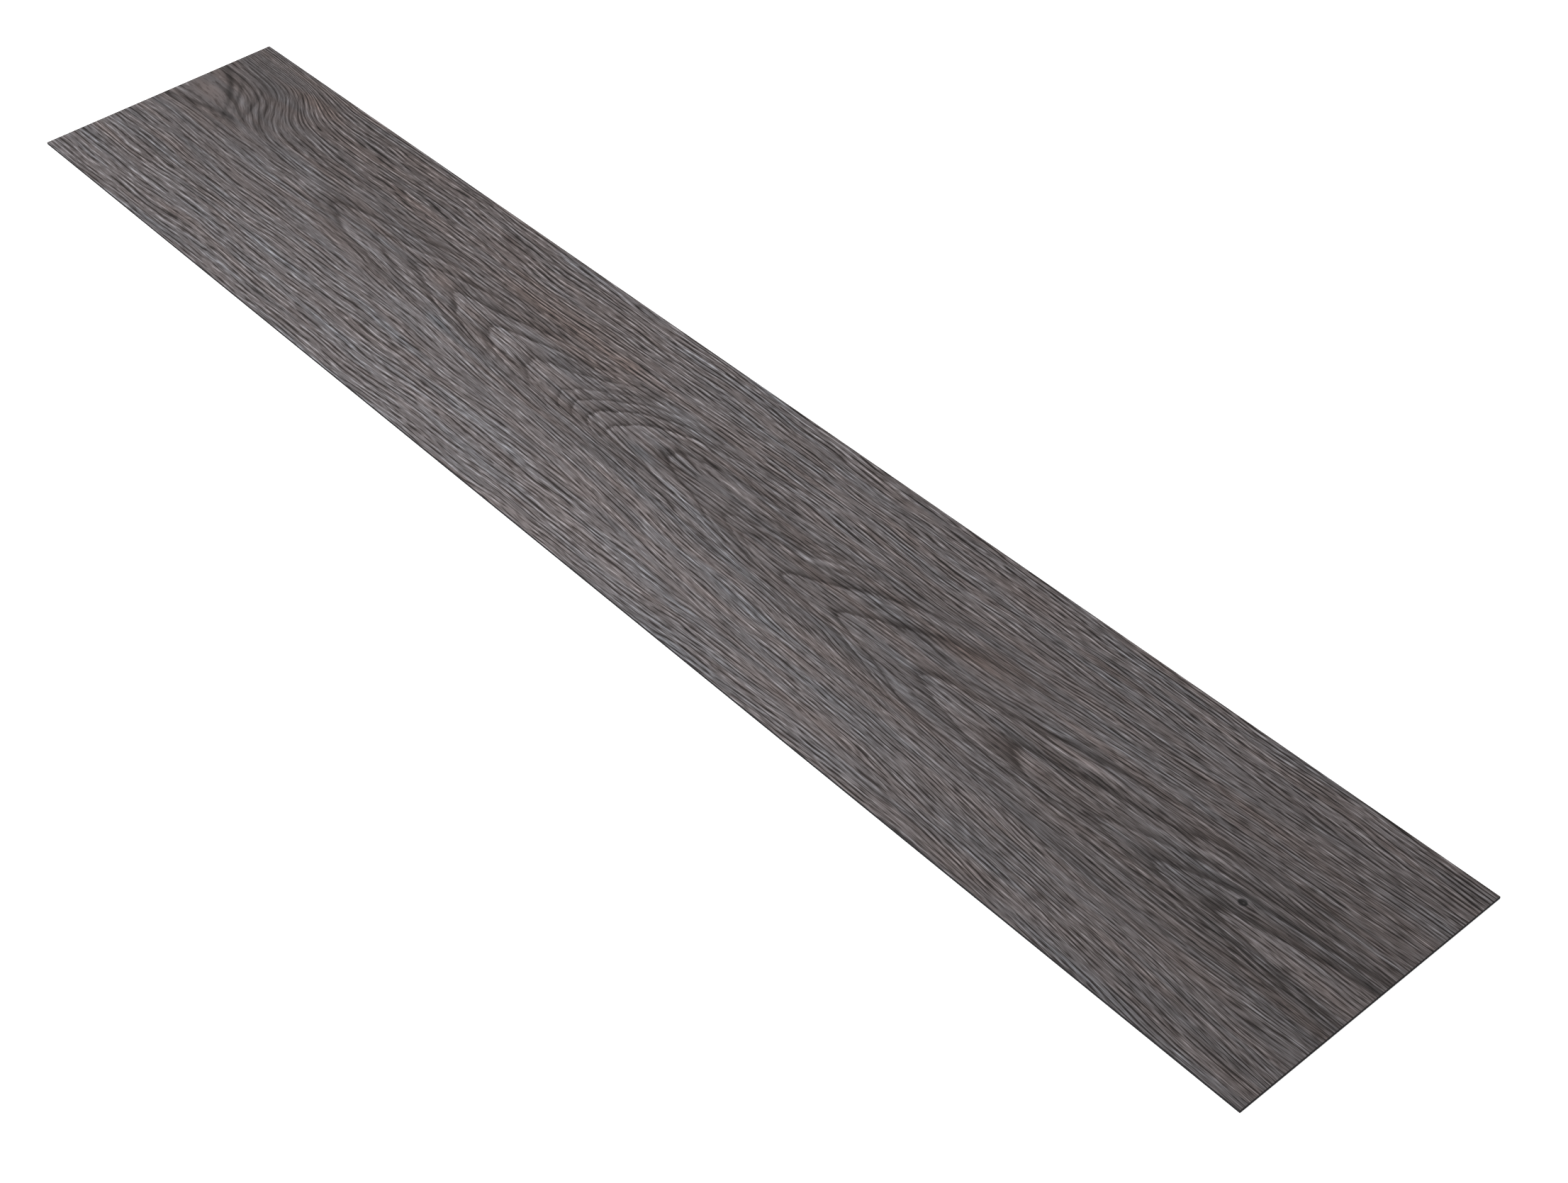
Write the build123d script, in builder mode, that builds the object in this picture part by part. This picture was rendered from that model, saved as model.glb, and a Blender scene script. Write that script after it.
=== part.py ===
from build123d import *
import os

# A wood-effect vinyl floor plank, lying face up on its back.
# X runs along the plank, Y across it and Z up through its thickness.
# The origin is on the back, under the middle of the plank.

# Driving dimensions, in millimetres
plank_length = 914.4  # a 36 inch plank
plank_width = 152.4  # a 6 inch plank
plank_thickness = 1.5  # print, wear layer and backing, pressed into one sheet
arris_radius = 0.35  # the face rolls over where the die cuts the sheet, on all four sides

os.makedirs("parts", exist_ok=True)

# The plank is one sheet, die cut square: four flat butt edges and square corners.
with BuildPart() as plank:
    # Back, drawn flat on the floor
    with BuildSketch(Plane.XY):
        Rectangle(plank_length, plank_width)
    extrude(amount=plank_thickness)

    # Eased arris round the walked-on face; the back keeps its sharp cut edges
    face_outline = plank.faces().sort_by(Axis.Z)[-1].edges()
    fillet(face_outline, radius=arris_radius)

plank.part.label = "plank"
export_step(plank.part, "parts/plank.step")
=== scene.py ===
import math
from functools import reduce

import bpy
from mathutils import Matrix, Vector


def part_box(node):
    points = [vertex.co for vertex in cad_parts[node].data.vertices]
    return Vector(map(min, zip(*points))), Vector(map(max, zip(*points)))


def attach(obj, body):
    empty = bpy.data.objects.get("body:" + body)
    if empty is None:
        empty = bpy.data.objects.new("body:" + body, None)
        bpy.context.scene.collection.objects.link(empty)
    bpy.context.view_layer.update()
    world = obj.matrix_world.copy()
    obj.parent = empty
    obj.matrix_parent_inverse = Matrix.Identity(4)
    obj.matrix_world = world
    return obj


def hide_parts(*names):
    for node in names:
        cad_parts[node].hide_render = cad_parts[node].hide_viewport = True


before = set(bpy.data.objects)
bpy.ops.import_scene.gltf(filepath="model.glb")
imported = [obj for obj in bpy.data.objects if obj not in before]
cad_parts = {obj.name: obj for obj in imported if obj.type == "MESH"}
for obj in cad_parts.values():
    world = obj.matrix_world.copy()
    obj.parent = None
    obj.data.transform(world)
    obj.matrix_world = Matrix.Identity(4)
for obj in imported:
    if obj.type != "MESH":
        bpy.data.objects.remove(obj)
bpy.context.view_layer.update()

plankLow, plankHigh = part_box("plank")
print("stage: frame loaded")


# Node sums written as Python: a wire is a socket that can be added, multiplied and so on
class Wire:
    def __init__(self, tree, socket=None):
        self.tree = tree
        self.socket = socket

    def node(self, kind, inputs, output=0, curve=None, **settings):  # any node but a sum
        made = self.tree.nodes.new(kind)
        for name, value in settings.items():
            setattr(made, name, value)
        if curve:
            line = made.mapping.curves[0].points
            while len(line) < len(curve):
                line.new(0.5, 0.5)
            for point, place in zip(line, curve):
                point.location = place
                point.handle_type = "VECTOR"
            made.mapping.update()
        for name, value in inputs.items():
            if isinstance(value, Wire):
                self.tree.links.new(value.socket, made.inputs[name])
            else:
                made.inputs[name].default_value = value
        return Wire(self.tree, made.outputs[output] if made.outputs else None)

    def also(self, output):  # another output of the same node
        return Wire(self.tree, self.socket.node.outputs[output])

    def sum(self, operation, *values):
        return self.node("ShaderNodeMath", dict(enumerate(values)), operation=operation)

    def __add__(self, other):
        return self.sum("ADD", self, other)

    def __sub__(self, other):
        return self.sum("SUBTRACT", self, other)

    def __rsub__(self, other):
        return self.sum("SUBTRACT", other, self)

    def __mul__(self, other):
        return self.sum("MULTIPLY", self, other)

    def __truediv__(self, other):
        return self.sum("DIVIDE", self, other)

    def __rtruediv__(self, other):
        return self.sum("DIVIDE", other, self)

    def __pow__(self, other):
        return self.sum("POWER", self, other)

    def __neg__(self):
        return self.sum("MULTIPLY", self, -1)

    def __abs__(self):
        return self.sum("ABSOLUTE", self)

    __radd__ = __add__
    __rmul__ = __mul__

    def exp(self):
        return self.sum("EXPONENT", self)

    def least(self, other):
        return self.sum("MINIMUM", self, other)

    def most(self, other):
        return self.sum("MAXIMUM", self, other)

    def fade(self, low, high):  # eases from 0 at low to 1 at high
        inputs = {"Value": self, "From Min": low, "From Max": high}
        return self.node("ShaderNodeMapRange", inputs, interpolation_type="SMOOTHSTEP")

    def fall(self, low, high):  # eases from 1 at low to 0 at high
        return 1 - self.fade(low, high)

    def mix(self, low, high):  # two colours, by this wire from 0 to 1
        return self.node("ShaderNodeMix", {0: self, 6: low, 7: high}, output=2, data_type="RGBA")

    def tint(self, colour):  # this colour times another
        inputs = {0: 1, 6: self, 7: colour}
        return self.node("ShaderNodeMix", inputs, output=2, data_type="RGBA", blend_type="MULTIPLY")


def bell(*offs):  # 1 where all of them are 0, falling away on both sides
    return (-sum(off * off for off in offs)).exp()


def emptyTree(owner):  # of a material or the world
    owner.use_nodes = True
    owner.node_tree.nodes.clear()
    return Wire(owner.node_tree)


# Camera, at the photo's angle
photoCamera = {
    "place": (0.7839, -0.5393, 0.7749),
    "turn": (47.2726, 2.8909, 49.9502),  # degrees
    "lens": 57.5,
    "sensor": 36,
    "shift": (0.0264, 0.0018),
    "farClip": 50,
}


def addCamera():
    bpy.ops.object.camera_add(location=photoCamera["place"])
    camera = bpy.context.object
    camera.rotation_euler = [math.radians(angle) for angle in photoCamera["turn"]]
    camera.data.sensor_fit = "HORIZONTAL"
    camera.data.sensor_width = photoCamera["sensor"]
    camera.data.lens = photoCamera["lens"]
    camera.data.shift_x, camera.data.shift_y = photoCamera["shift"]
    camera.data.clip_end = photoCamera["farClip"]
    bpy.context.scene.camera = camera
    print("stage: camera set")


# The oak figure of the printed face. Lengths are millimetres, from the middle of the plank.
oak = {
    "halfLength": 457,
    # the heart line that the cathedral arches stand on: x, y
    "heart": [(-460, 14), (-403, 14), (-340, 12), (-288, 11), (-200, 11), (-160, 9), (-128, 6), (-90, 4),
              (-50, -1), (-22, -1), (16, 9.5), (45, 6.5), (70, 0), (119, -7), (210, -6), (320, -9.5),
              (383, -11.5), (460, -12)],
    "heartDrift": (11, -9),  # the same line with its kinks left out, at the two ends
    "heartReach": 24,  # the kinks die out this far from the heart
    # how high the rings stand: the fall along x makes the arches open towards +X
    "rise": [(-460, 100), (-310, 100), (-66, 49), (-20, 27), (17, 15), (120, -11), (210, -38), (330, -55),
             (383, -66), (460, -74)],
    # radius of the arches' tips
    "tipRadius": [(-460, 3), (-280, 3), (-200, 5), (-140, 7), (-95, 10), (-66, 12), (-22, 13), (10, 9),
                  (130, 8), (330, 8), (390, 6), (460, 6)],
    # how much tighter the rings lie on the -Y side of the heart than on the other
    "lowerScale": [(-460, 1), (-170, 0.9), (-130, 0.85), (-80, 1.1), (-36, 1.5), (20, 1.45), (45, 2),
                   (70, 2.2), (120, 1.5), (185, 1.2), (215, 1.0), (268, 1.1), (340, 1.6), (460, 1.6)],
    # there the rings also crowd together, from this far below the straight heart and this strongly
    "pressedFrom": 6,
    "lowerPress": [(-460, 0), (-220, 0.05), (-120, 0.25), (20, 0.35), (120, 0.33), (165, 0.2), (215, 0.06),
                   (262, 0.05), (300, 0.1), (460, 0.1)],
    # arches: where the tip is along the heart, how dark its edge is, how pale the wood inside it is
    "arches": [(-288, 0.8, 0.3), (-240, 0.5, 0.5), (-203, 0.7, 0.6), (-168, 0.9, 0.8), (-130, 1.0, 1.0),
               (-94, 0.8, 0.6), (-60, 0.7, 0.4), (-49, 0.8, 0.4), (-36, 1.0, 0.7), (-21, 0.8, 1.0),
               (16, 0.95, 0.1), (69, 0.7, 0.3), (84, 0.5, 0.2), (120, 1.1, 0.3), (157, 1.0, 0.4),
               (210, 0.8, 0.9), (268, 1.2, 0.6), (323, 0.7, 0.6), (352, 1.1, 0.4), (382, 1.2, 0.8)],
    "archesFrom": (-320, -295),  # there are none to the left of this
    "archReach": (14, 42),  # they fade out between these distances from the heart
    "edgeStart": (-1.1, 0.4),  # the dark of an arch starts here
    "archEdge": 2.1,  # and runs out over this
    "insideStart": (-0.1, 0.6),  # the same for the pale wood inside it
    "archInside": 1.6,
    "tipThin": 0.5,  # an edge's thickness at the tip, as a share of that along its arms
    "fineRingsFrom": (0.6, 0.95),  # fine rings show on the arms, not round the tips
    # the swirl at the far end: rings climb to the left over a buried branch
    "swirl": {
        "x": -387,
        "length": 11.5,
        "farthest": 20,  # in lengths, to keep the exponent small
        "climb": 34.5,
        "from": (2, 52),
        "to": (54, 86),
        "place": (-410, 32),
        "reach": (46, 30),
        "strength": 1.5,
        "strokeClimb": 0.8,  # the strokes climb less than the rings
        "eye": ((-440, 21), (22, 9)),  # the plain wood inside it
        # its arcs: ring height, half thickness, how dark
        "arcs": [(13.2, 0.8, 0.4), (17.8, 1.1, 0.45), (21.5, 0.7, 0.25), (25.5, 0.9, 0.4), (29.5, 0.7, 0.25),
                 (33.5, 0.9, 0.4), (39, 0.8, 0.3)],
    },
    # pin knot: a little longer than wide, with the grain parting round it
    "knot": {"place": (391.2, -0.5), "size": 1.5, "long": 0.6, "eye": 0.35, "parts": (7, 3.5), "partBy": 0.7},
    # how much weaker the strokes are near the heart, in the swirl and in its eye
    "calmHeart": 0.2,
    "calmSwirl": 0.4,
    "calmEye": 0.3,
    # strokes of the grain
    "linePitch": (2.7, 1.8),  # at the far and the near end
    "lineBreak": 4.5,  # how often noise breaks them
    "dashBreak": 0.6,
    "darkLine": {"most": 0.35, "from": (0.4, 1.35)},
    "paleLine": {"most": 0.3, "from": (0.5, 1.3)},
    # they lean down under the heart, and up over it towards the near end
    "leaning": [
        {"layer": 30, "lean": -0.07, "from": (-245, 8), "along": -0.11, "width": 22, "start": (-300, -220)},
        {"layer": 40, "lean": 0.06, "from": (250, 24), "along": 0.09, "width": 18, "start": (150, 300)},
    ],
    "levelLayer": 20,
    "leanShare": (0.2, 0.6),
    # noise drawn out along the grain: length, width, seed, detail, roughness, strength
    "fibres": {
        "slowWander": (210, 45, 1, 1, 0.5, 8),
        "wander": (60, 12, 2, 1, 0.5, 2.2),
        "swirlFray": (14, 0.7, 3, 1, 0.5, 0.7),
        "archFray": (14, 0.7, 3, 1, 0.5, 1.9),
        "archWander": (60, 8, 4, 1, 0.5, 3),
        "fineRings": (150, 2.4, 5, 1, 0.6, 1),
        "longLines": (110, 1.4, 6, 1.5, 0.6, 1),
        "bands": (260, 6, 7, 2, 0.5, 1),
        "warmth": (90, 7, 11, 2, 0.5, 2),
        "lineWander": (60, 8, 0, 1, 0.5, 2),
        "dash": (9, 0.45, 1, 1, 0.5, 1),
        "linePiece": (34, 0.8, 2, 0, 0.5, 1),
        "pore": (8, 0.3, 3, 1, 0.6, 1),
    },
    "seedStep": (17.3, 5.1),
}
millimetres = 1000


def lengthwise(x, points):  # a value that changes along the plank, straight between a few points
    start, end = points[0][0], points[-1][0]
    low = min(value for _, value in points)
    high = max(value for _, value in points)
    line = [((at - start) / (end - start), (value - low) / (high - low)) for at, value in points]
    value = x.node("ShaderNodeFloatCurve", {"Value": (x - start) / (end - start)}, curve=line)
    return value * (high - low) + low


def riseAt(at):  # the rings' rise, read in Python
    points = oak["rise"]
    for (x0, high0), (x1, high1) in zip(points, points[1:]):
        if x0 <= at <= x1:
            return high0 + (high1 - high0) * (at - x0) / (x1 - x0)


def along(x, ends):  # a value that changes evenly from the far end to the near end
    far, near = ends
    return x * ((near - far) / (2 * oak["halfLength"])) + (near + far) / 2


def fibre(x, y, name, layer=0):  # noise drawn out along the grain
    length, width, seed, detail, roughness, strength = oak["fibres"][name]
    stepX, stepY = oak["seedStep"]
    seed = seed + layer
    place = x.node("ShaderNodeCombineXYZ", {"X": x / length + seed * stepX, "Y": y / width + seed * stepY})
    inputs = {"Vector": place, "Scale": 1.0, "Detail": detail, "Roughness": roughness}
    noise = x.node("ShaderNodeTexNoise", inputs, noise_dimensions="2D") - 0.5
    return noise if strength == 1 else noise * strength


def spot(x, y, place, reach, lean=0, bend=0):  # 1 at a place, fading out over its reach
    fromX = x - place[0]
    fromY = y - place[1]
    if lean or bend:
        fromY = fromY - fromX * (fromX * bend + lean)
    return bell(fromX / reach[0], fromY / reach[1])


# The height of the ring here, a mask that grows from the arches' tips to their arms, and one of the heart
def drawRings(x, ringY):
    drift = along(x, oak["heartDrift"])
    kink = lengthwise(x, oak["heart"]) - drift
    across = ringY - drift - kink * bell((ringY - drift) / oak["heartReach"])
    radius = lengthwise(x, oak["tipRadius"])
    nearHeart = abs(across).fall(*oak["archReach"])
    below = (-across).most(0)
    pressed = (drift - oak["pressedFrom"] - ringY).most(0)
    below = below * lengthwise(x, oak["lowerScale"]) + pressed * pressed * lengthwise(x, oak["lowerPress"])
    across = across.most(0) - below
    reach = (across * across + radius * radius) ** 0.5
    ring = reach - radius + lengthwise(x, oak["rise"])
    return ring, abs(across) / reach, nearHeart


def drawArches(ring, onArm):  # dark edges and the pale wood inside them
    thickness = onArm * (1 - oak["tipThin"]) + oak["tipThin"]
    darks = []
    pales = []
    for tip, edge, inside in oak["arches"]:
        off = (ring - riseAt(tip)) / thickness
        darks.append(off.fade(*oak["edgeStart"]) * (off.most(0) / -oak["archEdge"]).exp() * edge)
        pales.append((-off).fade(*oak["insideStart"]) * (off.least(0) / oak["archInside"]).exp() * inside)
    return reduce(Wire.most, darks), reduce(Wire.most, pales)


def drawArcs(ringY, fray):  # the dark arcs of the swirl
    arcs = []
    for height, thickness, edge in oak["swirl"]["arcs"]:
        arcs.append(bell((ringY + fray - height) / thickness) * edge)
    return reduce(Wire.most, arcs)


def strokes(x, y, pitch, layer):  # dark and pale lines along the grain, short dashes and open pores
    dark, pale = oak["darkLine"], oak["paleLine"]
    line = (y / pitch + fibre(x, y, "lineWander", layer)) * math.tau
    line = line.sum("SINE", line)
    dash = fibre(x, y, "dash", layer)
    broken = (fibre(x, y, "linePiece", layer) + dash * oak["dashBreak"]) * oak["lineBreak"]
    return {
        "hairs": (line + broken.least(dark["most"])).fade(*dark["from"]),
        "bright": ((-broken).least(pale["most"]) - line).fade(*pale["from"]),
        "dashes": dash,
        "pores": fibre(x, y, "pore", layer),
    }


def drawStrokes(x, y, grainY, levelY):  # level strokes, with leaning ones in two places
    pitch = along(x, oak["linePitch"])
    layers = [(1, strokes(x, levelY, pitch, oak["levelLayer"]))]
    for place in oak["leaning"]:
        fromX = x - place["from"][0]
        off = (y - place["from"][1] - fromX * place["along"]) / place["width"]
        share = bell(off).fade(*oak["leanShare"]) * x.fade(*place["start"])
        leaning = strokes(x, grainY - fromX * place["lean"], pitch, place["layer"])
        layers = [(weight * (1 - share), drawn) for weight, drawn in layers] + [(share, leaning)]
    kinds = ("hairs", "bright", "dashes", "pores")
    return {kind: sum(weight * drawn[kind] for weight, drawn in layers) for kind in kinds}


def drawOak(place):  # place is a position in metres; gives the figure's masks
    x = place.node("ShaderNodeSeparateXYZ", {0: place})
    y = x.also("Y") * millimetres
    x = x * millimetres

    # The grain wanders a little and parts round the knot
    knot = oak["knot"]
    knotX, knotY = knot["place"]
    part = spot(x, y, knot["place"], knot["parts"])
    grainY = y - (y - knotY) * part * knot["partBy"]
    grainY = grainY + fibre(x, y, "slowWander") + fibre(x, y, "wander")

    # The swirl at the far end lifts the rings
    swirl = oak["swirl"]
    lift = 1 / (1 + ((x - swirl["x"]) / swirl["length"]).least(swirl["farthest"]).exp())
    lift = lift * grainY.fade(*swirl["from"]) * grainY.fall(*swirl["to"]) * swirl["climb"]
    ringY = grainY - lift
    inSwirl = (spot(x, y, swirl["place"], swirl["reach"]) * swirl["strength"]).least(1)
    arcs = drawArcs(ringY, fibre(x, y, "swirlFray")) * inSwirl

    # Rings and arches
    ring, onArm, nearHeart = drawRings(x, ringY)
    dark, pale = drawArches(ring + fibre(x, y, "archFray") + fibre(x, y, "archWander"), onArm)
    shown = nearHeart * x.fade(*oak["archesFrom"])
    fineRings = fibre(x, ring, "fineRings") * nearHeart * onArm.fade(*oak["fineRingsFrom"])

    # Strokes are calmer in three places
    inEye = spot(x, y, *swirl["eye"])
    calm = 1 - nearHeart * oak["calmHeart"] - inSwirl * oak["calmSwirl"] - inEye * oak["calmEye"]
    figure = drawStrokes(x, y, grainY, grainY - lift * swirl["strokeClimb"])

    fromKnotX = (x - knotX) / knot["size"]
    fromKnotY = (y - knotY) / knot["size"]
    fromEye = fromKnotX - knot["eye"]
    figure.update({
        "x": x, "y": y, "grainY": grainY,
        "dark": (dark * shown).most(arcs),
        "pale": pale * shown,
        "fineRings": fineRings,
        "longLines": fibre(x, ringY, "longLines"),
        "bands": fibre(x, ringY, "bands"),
        "calm": calm,
        "knot": (fromKnotX * fromKnotX * knot["long"] + fromKnotY * fromKnotY) ** 0.5,
        "knotEye": (fromEye * fromEye + fromKnotY * fromKnotY) ** 0.5,
    })
    return figure


# The printed face. Tones are powers of e: 0 is the base colour, and -0.7 is half as light.
printedOakLook = {
    "base": (0.1245, 0.113, 0.1132, 1),
    "warm": (1.14, 0.99, 0.92, 1),
    "cool": (0.91, 1.0, 1.07, 1),
    "darkWarms": 0.5,  # dark lines are brownish and pale ones bluish
    # strength of each mark, a pair at the far and the near end
    "bolder": (1.09, 1.13),
    "bolderUp": 0.002,  # and this much more for each mm towards +Y
    "longLines": 0.84,
    "bands": 0.27,
    "fineRings": 1.3,
    "hairs": 1.68,
    "bright": (0.78, 0.46),
    "dashes": (1.25, 1.6),
    "darkDashes": (0.0, 0.35),
    "pores": (0.3, 0.6),
    # painted sheen: this pair lightens the face towards the far end, in place of gloss from the lamp
    "ends": (0.22, 0.02),
    "dark": 1.05,
    "pale": 0.5,
    "markFrom": (0.07, 0.2),  # noise above this is a dark dash or a pore
    "archPores": 0.08,  # arches have more of them
    "knot": {"from": (0.9, 1.4), "dark": 0.85, "eyeFrom": (0.2, 0.45), "eye": 0.3},
    # fine relief on top of the mesh's own, and gloss
    "bump": {"longLines": 0.1, "dashes": 0.06, "hairs": 0.04, "pores": 0.06, "depth": 0.001, "strength": 0.8},
    "roughness": 0.42,
    "poreRoughness": 0.15,
    "specular": 0.3,
    # light, dark, reddish and bluish places, two of them partly painted sheen and shade: where, how long and
    # wide, lean, bend, tone, warmth
    "patches": [
        ((-457, 76), (190, 60), 0, 0, -0.22, 0.2),  # far corner, darker: painted shade beside the painted sheen of the far end
        ((-280, 62), (110, 26), 0, 0, -0.16, 0.4),
        ((-262, 33), (60, 11), 0, 0, -0.16, 0.3),
        ((-400, -30), (70, 16), 0, 0, -0.12, 0.1),
        ((-270, -64), (60, 14), 0, 0, -0.12, 0),
        ((20, -62), (300, 48), 0, 0, 0.17, -0.2),  # lower middle, lighter: partly painted sheen, partly paler wood
        ((130, -32), (110, 15), 0, 0, 0.1, 0),
        ((-110, 2), (80, 14), 0, 0, 0.14, 0),
        ((40, 0), (230, 120), 0, 0, 0.07, 0),
        ((425, 32), (50, 14), 0, 0, -0.12, 0.2),
        ((430, -64), (50, 16), 0, 0, -0.12, 0),
        ((-440, 20), (19, 7), 0, 0, 0.18, 0.5),  # pale wood inside the swirl
        ((-406, 15.5), (9, 2.4), 0, 0, -0.65, 0.2),  # its dark tip
        ((-433, 10), (26, 1.9), 0.22, 0, -0.85, 0.2),  # and lower arm
        ((-433, 33.8), (24, 2.4), -0.62, -0.0084, -0.95, 0.1),  # upper arms
        ((-421, 32.5), (16, 2.2), -0.85, -0.006, -0.6, 0),
        ((-409, 38.5), (11, 2.2), -1.2, -0.03, -0.45, 0),
        ((-360, 11), (12, 3), 0, 0, -0.25, 0.2),
        ((-380, 62), (22, 4), 0, 0, -0.10, 1.2),
        ((-181, 12), (14, 4), 0, 0, 0.05, 0.9),
        ((-146, 8), (11, 4), 0, 0, 0.22, 0.3),
        ((-218, -1), (22, 2.2), -0.12, 0, 0.25, -0.2),
        ((-155, -11), (12, 3), -0.1, 0, 0.15, -0.9),
        ((-110, 6), (13, 6), 0, 0, 0.20, 0),
        ((5, -1), (12, 4), 0, 0, -0.2, -0.7),
        ((-28, -40), (22, 3.5), -0.2, 0, -0.22, 0.2),
        ((-100, 38), (55, 13), 0, 0, -0.12, 0.9),
        ((-54, 39), (8, 4), 0, 0, -0.05, 0.9),
        ((-5, 58.5), (18, 1.2), 0, 0, 0.35, -0.3),
        ((91, 14), (10, 1.2), 0, 0, -0.35, 0),
        ((91, -1), (7, 1.5), 0, 0, -0.30, 0),
        ((85, -9), (56, 1.5), -0.2, 0, -0.4, 0),  # lower arm of the middle arch
        ((60, -10.5), (62, 3.4), -0.18, 0, 0.24, -0.7),  # and the bluish wood beside it
        ((236, -6), (22, 5), 0, 0, 0.16, 0),
        ((425, -11), (34, 5), 0, 0, 0.2, 0),
        ((222, 20), (24, 5), 0.25, 0, -0.14, 0.8),
    ],
}


def printedFace():
    look = printedOakLook
    material = bpy.data.materials.new("printedOak")
    start = emptyTree(material)
    figure = drawOak(start.node("ShaderNodeTexCoord", {}, output="Object"))
    x, y = figure["x"], figure["y"]
    darkDashes = figure["dashes"].fade(*look["markFrom"])
    pores = (figure["pores"] + figure["dark"] * look["archPores"]).fade(*look["markFrom"])

    # Light and dark
    lines = figure["bright"] * along(x, look["bright"]) - figure["hairs"] * look["hairs"]
    lines = (lines + figure["longLines"] * look["longLines"]) * along(x, look["bolder"]) * figure["calm"]
    tone = lines * (y * look["bolderUp"] + 1) + figure["bands"] * look["bands"]
    tone = tone - figure["dashes"] * figure["calm"] * along(x, look["dashes"])
    tone = tone - darkDashes * along(x, look["darkDashes"]) - pores * along(x, look["pores"])
    # painted sheen: the ends term makes the tone lighter towards the far end
    tone = tone + along(x, look["ends"]) + figure["fineRings"] * look["fineRings"]
    tone = tone + figure["pale"] * look["pale"] - figure["dark"] * look["dark"]

    # Reddish and bluish wood, from -1 to 1
    warmth = fibre(x, figure["grainY"], "warmth") - tone * look["darkWarms"]
    # the far corner and lower middle patches are partly painted sheen and shade
    for place, reach, lean, bend, light, warm in look["patches"]:
        here = spot(x, y, place, reach, lean, bend)
        tone = tone + here * light
        if warm:
            warmth = warmth + here * warm
    knotLook = look["knot"]
    knot = figure["knot"].fall(*knotLook["from"])
    knot = knot - figure["knotEye"].fall(*knotLook["eyeFrom"]) * knotLook["eye"]
    light = tone.exp() * (1 - knot * knotLook["dark"])
    grey = start.node("ShaderNodeCombineColor", {0: light, 1: light, 2: light})
    colour = (warmth * 0.5 + 0.5).mix(look["cool"], look["warm"]).tint(look["base"]).tint(grey)

    bump = look["bump"]
    height = figure["longLines"] * bump["longLines"] - darkDashes * bump["dashes"]
    height = height - figure["hairs"] * bump["hairs"] - pores * bump["pores"]
    inputs = {"Height": height, "Distance": bump["depth"], "Strength": bump["strength"]}
    shader = start.node("ShaderNodeBsdfPrincipled", {
        "Base Color": colour,
        "Roughness": pores * look["poreRoughness"] + look["roughness"],
        "Normal": start.node("ShaderNodeBump", inputs),
        "Specular IOR Level": look["specular"],
    })
    start.node("ShaderNodeOutputMaterial", {"Surface": shader})
    return material


# The backing, on the cut edges and the back
charcoalLook = {
    "specks": {"Scale": 1800, "Detail": 3},
    "cut": [(0.006, 0.0055, 0.0065, 1), (0.012, 0.011, 0.013, 1)],  # the cut edges
    "cutSpecks": (0.3, 0.7),
    "back": [(0.028, 0.027, 0.029, 1), (0.06, 0.058, 0.061, 1)],  # the pressed back is paler
    "backSpecks": (0.35, 0.65),
    "backUpTo": (0.00001, 0.00003),
    "bump": {"Distance": 0.0001, "Strength": 0.6},
    "roughness": 0.8,
    "specular": 0.2,
}


def charcoalBacking():
    look = charcoalLook
    material = bpy.data.materials.new("charcoalBacking")
    start = emptyTree(material)
    place = start.node("ShaderNodeTexCoord", {}, output="Object")
    height = start.node("ShaderNodeSeparateXYZ", {0: place}, output=2)
    speck = start.node("ShaderNodeTexNoise", {"Vector": place, **look["specks"]})
    cut = speck.fade(*look["cutSpecks"]).mix(*look["cut"])
    back = speck.fade(*look["backSpecks"]).mix(*look["back"])
    shader = start.node("ShaderNodeBsdfPrincipled", {
        "Base Color": height.fall(*look["backUpTo"]).mix(cut, back),
        "Roughness": look["roughness"],
        "Normal": start.node("ShaderNodeBump", {"Height": speck, **look["bump"]}),
        "Specular IOR Level": look["specular"],
    })
    start.node("ShaderNodeOutputMaterial", {"Surface": shader})
    return material


# The plank, in metres
plank = {
    "cellLength": 0.005,  # mesh cells of the face, long with the grain
    "cellWidth": 0.0005,
    "grooveDepth": 0.00004,  # the dark lines of the print are pressed in, in register with it
    "hollowDepth": 0.00008,
    "archDepth": 0.00003,
    "flatMargin": 0.0000035,  # what lies this close to the top is the flat of the face
    "arrisRadius": 0.00035,
    "arrisSteps": 4,
    "printedArris": 0.3,  # the share of the arris that the print covers
    "sideSteps": 2,
    "smoothAngle": 35,
}


def pressRelief(piece, top):  # only downwards, and only the flat of the face
    tree = bpy.data.node_groups.new("oakRelief", "GeometryNodeTree")
    tree.interface.new_socket(name="Mesh", in_out="INPUT", socket_type="NodeSocketGeometry")
    tree.interface.new_socket(name="Mesh", in_out="OUTPUT", socket_type="NodeSocketGeometry")
    start = Wire(tree)
    place = start.node("GeometryNodeInputPosition", {})
    figure = drawOak(place)
    depth = figure["hairs"] * plank["grooveDepth"] + figure["dark"] * plank["archDepth"]
    depth = depth + (-figure["longLines"]).most(0) * plank["hollowDepth"]
    height = start.node("ShaderNodeSeparateXYZ", {0: place}, output=2)
    onFace = height.sum("GREATER_THAN", height, top - plank["flatMargin"])
    offset = start.node("ShaderNodeCombineXYZ", {"Z": -(depth * onFace)})
    mesh = start.node("NodeGroupInput", {})
    pressed = start.node("GeometryNodeSetPosition", {"Geometry": mesh, "Offset": offset})
    start.node("NodeGroupOutput", {"Mesh": pressed})
    modifier = piece.modifiers.new("oakRelief", "NODES")
    modifier.node_group = tree
    bpy.ops.object.modifier_apply(modifier=modifier.name)


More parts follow.
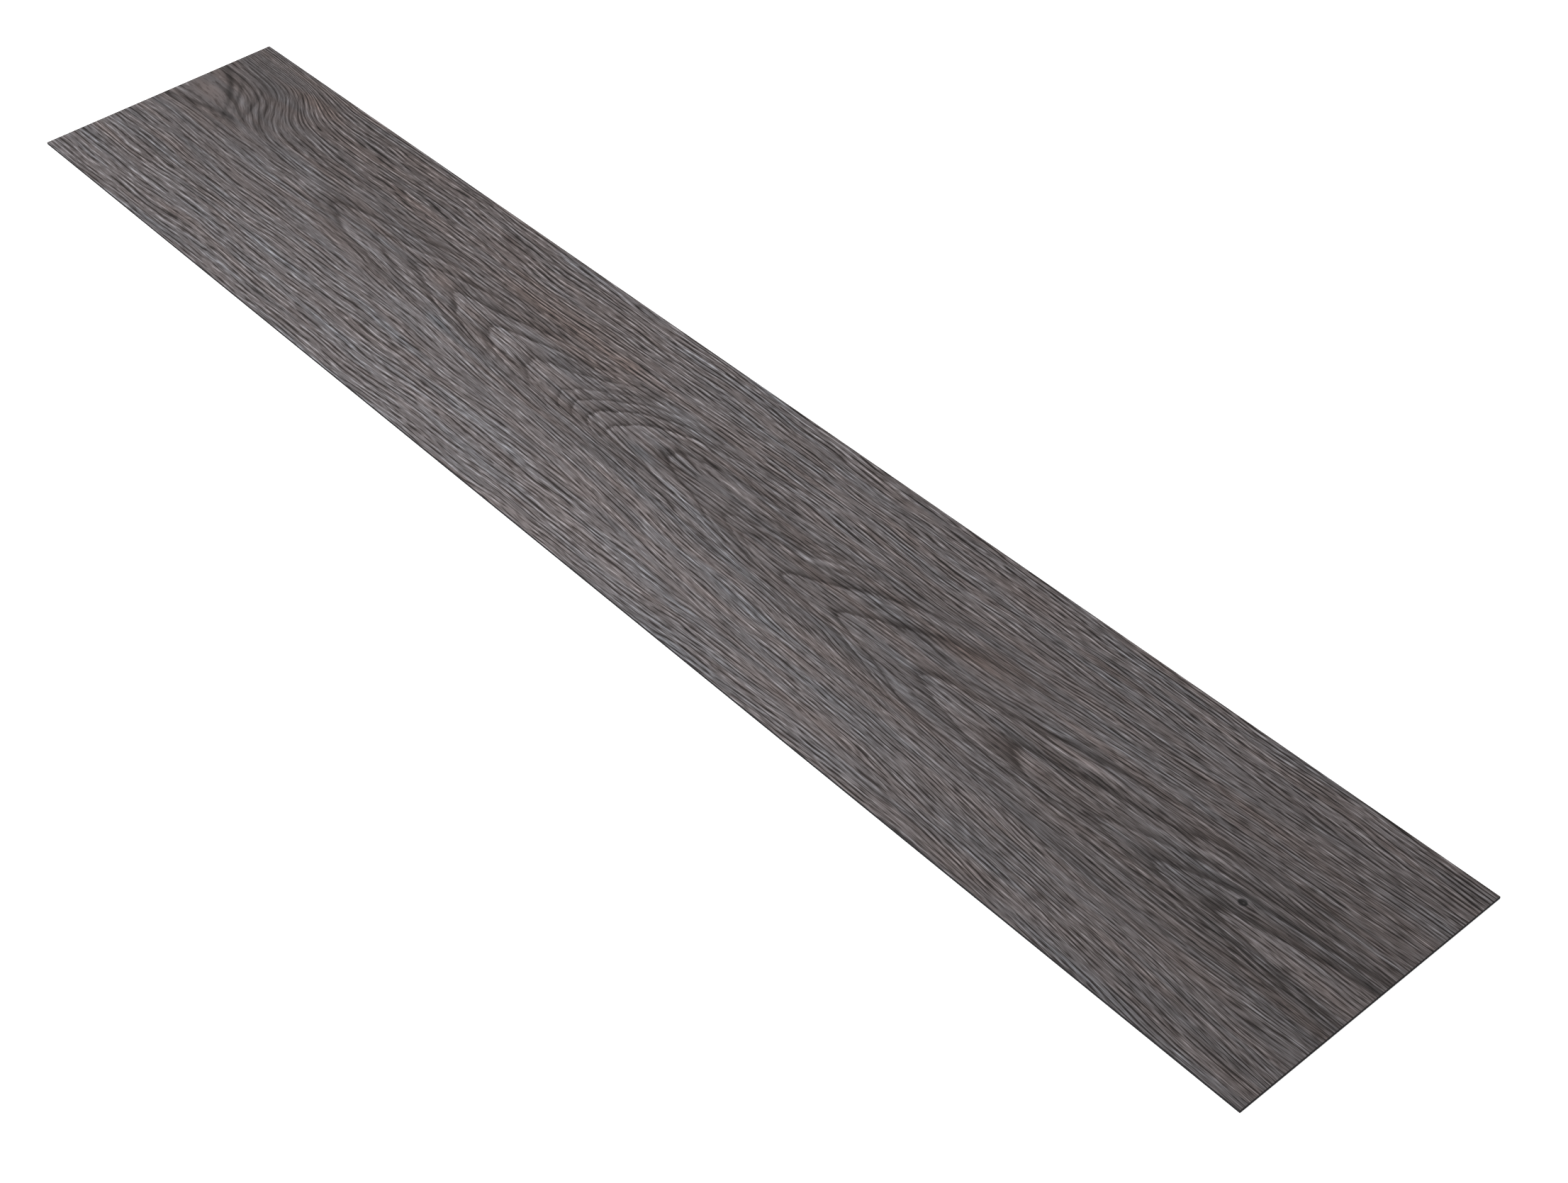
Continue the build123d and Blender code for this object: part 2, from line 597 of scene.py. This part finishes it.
def addPlank():
    length = plankHigh[0] - plankLow[0]
    width = plankHigh[1] - plankLow[1]
    top = plankHigh[2]
    radius = plank["arrisRadius"]
    flatLength = length - 2 * radius
    flatWidth = width - 2 * radius
    bpy.ops.object.select_all(action="DESELECT")
    bpy.ops.mesh.primitive_grid_add(
        x_subdivisions=round(flatLength / plank["cellLength"]),
        y_subdivisions=round(flatWidth / plank["cellWidth"]),
        size=1,
    )
    piece = bpy.context.object
    piece.name = "plankEmbossed"
    bpy.ops.object.mode_set(mode="EDIT")
    bpy.ops.mesh.select_all(action="SELECT")
    bpy.ops.transform.resize(value=(flatLength, flatWidth, 1))
    bpy.ops.transform.translate(value=(0, 0, top))
    bpy.ops.mesh.region_to_loop()

    # Rolled arris, then the cut sides: the rim is extruded down step by step
    steps = []
    for step in range(1, plank["arrisSteps"] + 1):
        angle = math.pi / 2 * step / plank["arrisSteps"]
        steps.append((radius * math.sin(angle), top - radius * (1 - math.cos(angle))))
    for step in range(1, plank["sideSteps"] + 1):
        steps.append((radius, (top - radius) * (1 - step / plank["sideSteps"])))
    outBefore, heightBefore = 0, top
    for out, height in steps:
        bpy.ops.mesh.extrude_edges_move(TRANSFORM_OT_translate={"value": (0, 0, height - heightBefore)})
        bpy.ops.transform.resize(value=(
            (flatLength + 2 * out) / (flatLength + 2 * outBefore),
            (flatWidth + 2 * out) / (flatWidth + 2 * outBefore),
            1,
        ), center_override=(0, 0, height))
        outBefore, heightBefore = out, height
    bpy.ops.mesh.edge_face_add()
    bpy.ops.mesh.select_all(action="SELECT")
    bpy.ops.mesh.normals_make_consistent(inside=False)
    bpy.ops.object.mode_set(mode="OBJECT")
    pressRelief(piece, top)

    piece.data.materials.append(printedFace())
    piece.data.materials.append(charcoalBacking())
    rim = top - radius * plank["printedArris"]
    for face in piece.data.polygons:
        face.material_index = 0 if face.center.z > rim else 1
    bpy.ops.object.shade_smooth_by_angle(angle=math.radians(plank["smoothAngle"]))
    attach(piece, "root")
    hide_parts("plank")
    print("stage: plank made,", len(piece.data.polygons), "faces")


# Studio
studio = {
    "floorSize": 12,
    "floorHeight": 0.00005,  # a hair above the back, so that they don't share a plane
    "floorColour": (0.86, 0.86, 0.86, 1),
    "floorGlow": 0.8,
    "world": 0.3,
    "lamps": {
        "keyLamp": {"place": (-0.15, -0.95, 0.95), "aim": (0, 0, 0), "size": (1.1, 1.1), "watts": 22},
    },
}


def addFloor():  # white to the camera and in gloss, pale to the plank
    bpy.ops.mesh.primitive_plane_add(size=studio["floorSize"], location=(0, 0, studio["floorHeight"]))
    floor = bpy.context.object
    floor.name = "floor"
    material = bpy.data.materials.new("paleFloor")
    start = emptyTree(material)
    camera = start.node("ShaderNodeLightPath", {}, output="Is Camera Ray")
    seen = camera.most(camera.also("Is Glossy Ray")).most(camera.also("Is Transmission Ray"))
    diffuse = start.node("ShaderNodeBsdfDiffuse", {"Color": studio["floorColour"]})
    glow = start.node("ShaderNodeEmission", {"Strength": seen * studio["floorGlow"]})
    both = start.node("ShaderNodeAddShader", {0: diffuse, 1: glow})
    start.node("ShaderNodeOutputMaterial", {"Surface": both})
    floor.data.materials.append(material)


def addLight():
    world = bpy.data.worlds.new("studio")
    bpy.context.scene.world = world
    start = emptyTree(world)
    camera = start.node("ShaderNodeLightPath", {}, output="Is Camera Ray")
    strength = camera.most(camera.also("Is Transmission Ray")) * (1 - studio["world"]) + studio["world"]
    sky = start.node("ShaderNodeBackground", {"Color": (1, 1, 1, 1), "Strength": strength})
    start.node("ShaderNodeOutputWorld", {"Surface": sky})

    for name, lamp in studio["lamps"].items():
        bpy.ops.object.light_add(type="AREA", location=lamp["place"])
        light = bpy.context.object
        light.name = name
        light.data.shape = "RECTANGLE"
        light.data.size, light.data.size_y = lamp["size"]
        light.data.energy = lamp["watts"]
        away = light.location - Vector(lamp["aim"])
        light.rotation_euler = away.to_track_quat("Z", "Y").to_euler()
    bpy.context.scene.view_settings.view_transform = "Standard"
    print("stage: studio lit")


addCamera()
addPlank()
addFloor()
addLight()
